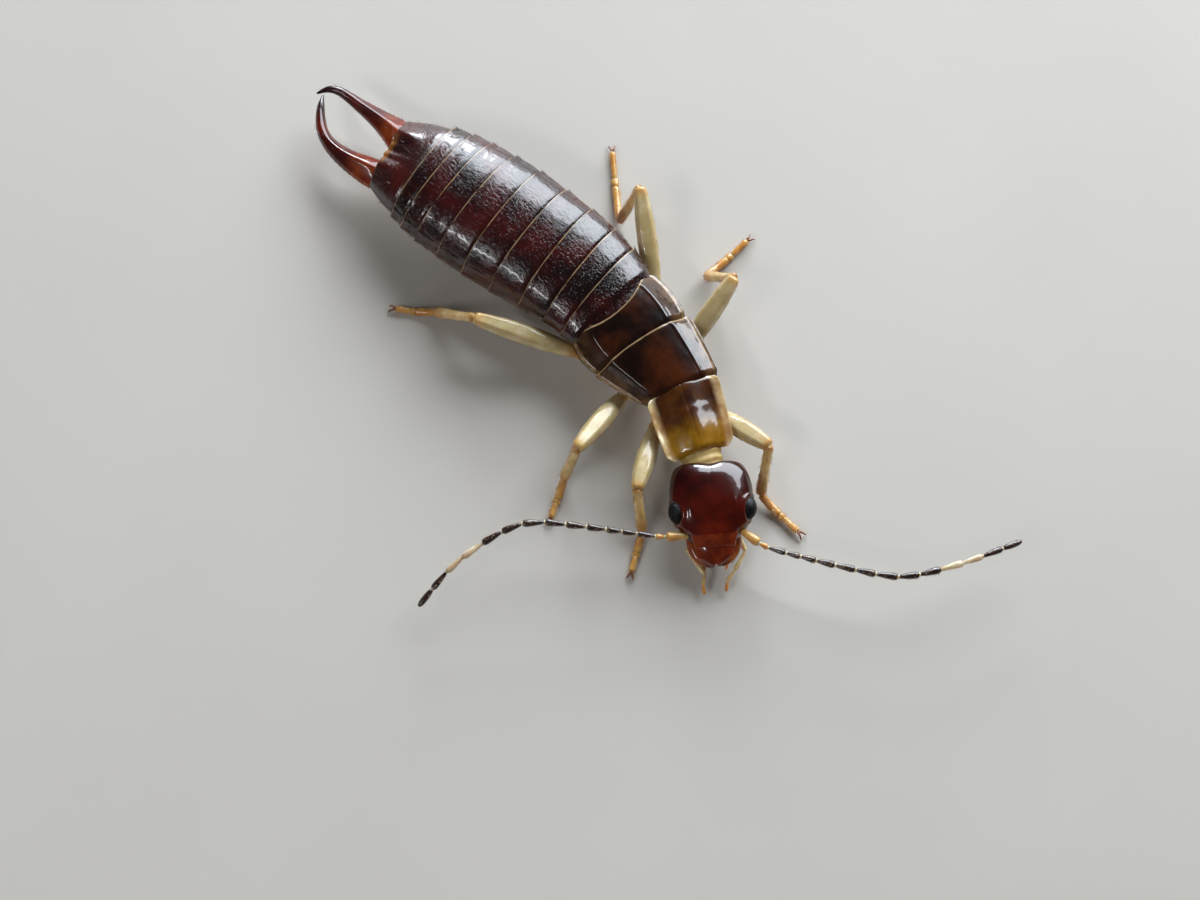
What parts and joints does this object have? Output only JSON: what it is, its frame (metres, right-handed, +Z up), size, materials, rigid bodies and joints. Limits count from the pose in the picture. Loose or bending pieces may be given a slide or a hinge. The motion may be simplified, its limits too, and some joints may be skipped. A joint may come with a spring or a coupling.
{
  "type": "earwig",
  "caption": "Life-size still model of a wingless male earwig standing on six feet, with long jointed antennae and unequal curved forceps.",
  "frame": {"origin": "middle of the whole outline, feet and feelers included, on the floor that the six feet stand on", "axes": "+Y runs from the head toward the forceps, +Z is up, and +X is the animal's left side"},
  "size_m": [0.0118, 0.0188, 0.002],
  "materials": {
    "head_shell": "glossy, very dark mahogany red, yellow-brown cheeks, orange-brown lip",
    "neck_skin": "matt pale cream skin",
    "pronotum_shell": "smooth honey to amber shell with clear, pale side rims",
    "thorax_shell": "satin umber shell with tan side flanges and pale hind rims",
    "abdomen_shell": "satin, finely pitted black-red shell with thin tan hind rims",
    "last_plate_shell": "glossy dark red-brown shell, golden brown at its hind rim",
    "forceps_shell": "glossy, orange red at the root to dark brown at the tip",
    "eye": "black, finely faceted",
    "jaw": "orange brown, black at the biting tips",
    "palp": "pale, slightly clear",
    "antenna": "dark brown joints with thin pale rings, amber first joint, two cream joints near the tip",
    "coxa": "ivory, slightly clear",
    "femur": "ivory to pale yellow, glossy and slightly clear, with brown knees",
    "tibia": "clear amber with fine bristles",
    "tarsus": "orange brown, finely haired, with dark claws"
  },
  "bodies": {
    "root": {"head": "head_shell", "neck": "neck_skin", "eye_left": "eye", "eye_right": "eye", "mandible_left": "jaw", "mandible_right": "jaw", "palp_left": "palp", "palp_right": "palp", "antenna_left": "antenna", "antenna_right": "antenna", "prothorax": "pronotum_shell", "mesothorax": "thorax_shell", "metathorax": "thorax_shell", "abdomen_1": "abdomen_shell", "abdomen_2": "abdomen_shell", "abdomen_3": "abdomen_shell", "abdomen_4": "abdomen_shell", "abdomen_5": "abdomen_shell", "abdomen_6": "abdomen_shell", "abdomen_7": "abdomen_shell", "abdomen_8": "abdomen_shell", "abdomen_9": "abdomen_shell", "abdomen_10": "last_plate_shell", "forceps_left": "forceps_shell", "forceps_right": "forceps_shell", "coxa_left_front": "coxa", "femur_left_front": "femur", "tibia_left_front": "tibia", "tarsus_left_front": "tarsus", "coxa_left_middle": "coxa", "femur_left_middle": "femur", "tibia_left_middle": "tibia", "tarsus_left_middle": "tarsus", "coxa_left_hind": "coxa", "femur_left_hind": "femur", "tibia_left_hind": "tibia", "tarsus_left_hind": "tarsus", "coxa_right_front": "coxa", "femur_right_front": "femur", "tibia_right_front": "tibia", "tarsus_right_front": "tarsus", "coxa_right_middle": "coxa", "femur_right_middle": "femur", "tibia_right_middle": "tibia", "tarsus_right_middle": "tarsus", "coxa_right_hind": "coxa", "femur_right_hind": "femur", "tibia_right_hind": "tibia", "tarsus_right_hind": "tarsus"}
  },
  "joints": []
}
